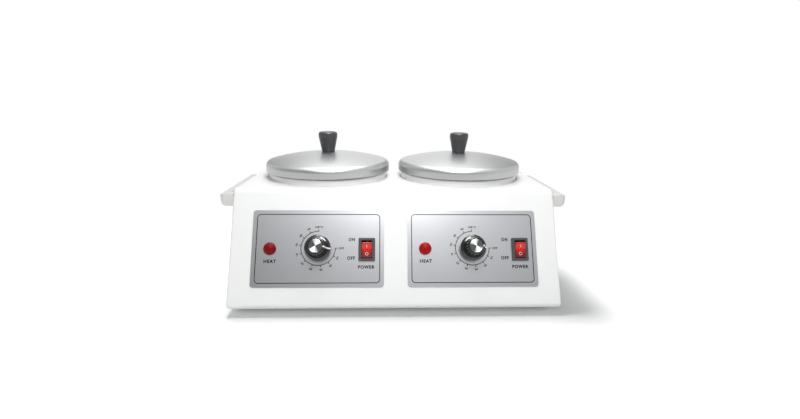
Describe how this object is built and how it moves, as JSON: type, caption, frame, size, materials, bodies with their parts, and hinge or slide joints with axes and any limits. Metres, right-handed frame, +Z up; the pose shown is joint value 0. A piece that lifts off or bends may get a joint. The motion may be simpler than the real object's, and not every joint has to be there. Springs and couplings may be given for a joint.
{
  "type": "double wax warmer",
  "caption": "Tabletop wax warmer with paired heated wells in a sloped-front white housing, lift-out pots, domed lids, dial thermostats and rocker switches.",
  "frame": {"origin": "on the table, under the middle of the object's bounding box", "axes": "+Z up, the sloped control panel faces -Y, +X to the right as seen from the front"},
  "size_m": [0.3248, 0.2, 0.1518],
  "materials": {
    "black_gloss": "gloss",
    "black_matte": "fine matte",
    "brass": "tinned brass",
    "bright_steel": "nickel plated",
    "cream_plastic": "matte",
    "drawn_aluminium": "drawn, bright",
    "heater_steel": "rolled strip",
    "lid_aluminium": "spun, satin",
    "plate_aluminium": "fine satin",
    "red_lens": "translucent, gloss",
    "red_rocker": "translucent, gloss",
    "rubber": "matte",
    "turned_aluminium": "turned, bright",
    "white_plastic": "semi-gloss moulding",
    "white_powder_coat": "satin powder coat",
    "zinc_steel": "zinc plated"
  },
  "bodies": {
    "housing": {"base_plate": "zinc_steel", "base_screws": "zinc_steel", "clamp_screws": "zinc_steel", "collar_ring_left": "white_plastic", "collar_ring_right": "white_plastic", "control_plate_left": "plate_aluminium", "control_plate_right": "plate_aluminium", "foot_front_left": "rubber", "foot_front_right": "rubber", "foot_rear_left": "rubber", "foot_rear_right": "rubber", "foot_screws": "zinc_steel", "handle_left": "white_plastic", "handle_right": "white_plastic", "handle_screws": "zinc_steel", "heater_band_left": "heater_steel", "heater_band_right": "heater_steel", "housing_shell": "white_powder_coat", "inlet_pins": "brass", "inlet_screws": "zinc_steel", "lamp_body_left": "cream_plastic", "lamp_body_right": "cream_plastic", "lamp_lens_left": "red_lens", "lamp_lens_right": "red_lens", "lamp_ring_left": "bright_steel", "lamp_ring_right": "bright_steel", "mains_inlet": "black_matte", "power_switch_left": "black_matte", "power_switch_right": "black_matte", "rear_panel": "white_powder_coat", "rear_screws": "zinc_steel", "terminal_block": "cream_plastic", "thermal_cutout_left": "bright_steel", "thermal_cutout_right": "bright_steel", "thermostat_left": "zinc_steel", "thermostat_nut_left": "bright_steel", "thermostat_nut_right": "bright_steel", "thermostat_right": "zinc_steel", "well_bracket_left": "zinc_steel", "well_bracket_right": "zinc_steel", "well_left": "drawn_aluminium", "well_right": "drawn_aluminium"},
    "pot_left": {"pot_left": "drawn_aluminium"},
    "lid_left": {"lid_left": "lid_aluminium", "lid_knob_left": "black_matte", "lid_screw_left": "zinc_steel"},
    "knob_left": {"control_knob_left": "black_gloss", "knob_cap_left": "turned_aluminium", "thermostat_spindle_left": "bright_steel"},
    "rocker_left": {"rocker_left": "red_rocker"},
    "pot_right": {"pot_right": "drawn_aluminium"},
    "lid_right": {"lid_right": "lid_aluminium", "lid_knob_right": "black_matte", "lid_screw_right": "zinc_steel"},
    "knob_right": {"control_knob_right": "black_gloss", "knob_cap_right": "turned_aluminium", "thermostat_spindle_right": "bright_steel"},
    "rocker_right": {"rocker_right": "red_rocker"}
  },
  "joints": [
    {"name": "pot_left_lift", "type": "slide", "parent": "housing", "child": "pot_left", "axis": [0, 0, 1], "range_m": [0, 0.08]},
    {"name": "lid_left_lift", "type": "slide", "parent": "pot_left", "child": "lid_left", "axis": [0, 0, 1], "range_m": [0, 0.05]},
    {"name": "knob_left_turn", "type": "hinge", "parent": "housing", "child": "knob_left", "pos_m": [-0.0702, -0.07803, 0.05506], "axis": [0, 0.8988, -0.4384], "range_deg": [0, 270]},
    {"name": "rocker_left_tip", "type": "hinge", "parent": "housing", "child": "rocker_left", "pos_m": [-0.0263, -0.07883, 0.05412], "axis": [-1, 0, 0], "range_deg": [0, 20]},
    {"name": "pot_right_lift", "type": "slide", "parent": "housing", "child": "pot_right", "axis": [0, 0, 1], "range_m": [0, 0.08]},
    {"name": "lid_right_lift", "type": "slide", "parent": "pot_right", "child": "lid_right", "axis": [0, 0, 1], "range_m": [0, 0.05]},
    {"name": "knob_right_turn", "type": "hinge", "parent": "housing", "child": "knob_right", "pos_m": [0.0702, -0.07803, 0.05506], "axis": [0, 0.8988, -0.4384], "range_deg": [0, 270]},
    {"name": "rocker_right_tip", "type": "hinge", "parent": "housing", "child": "rocker_right", "pos_m": [0.1141, -0.07883, 0.05412], "axis": [-1, 0, 0], "range_deg": [0, 20]}
  ]
}
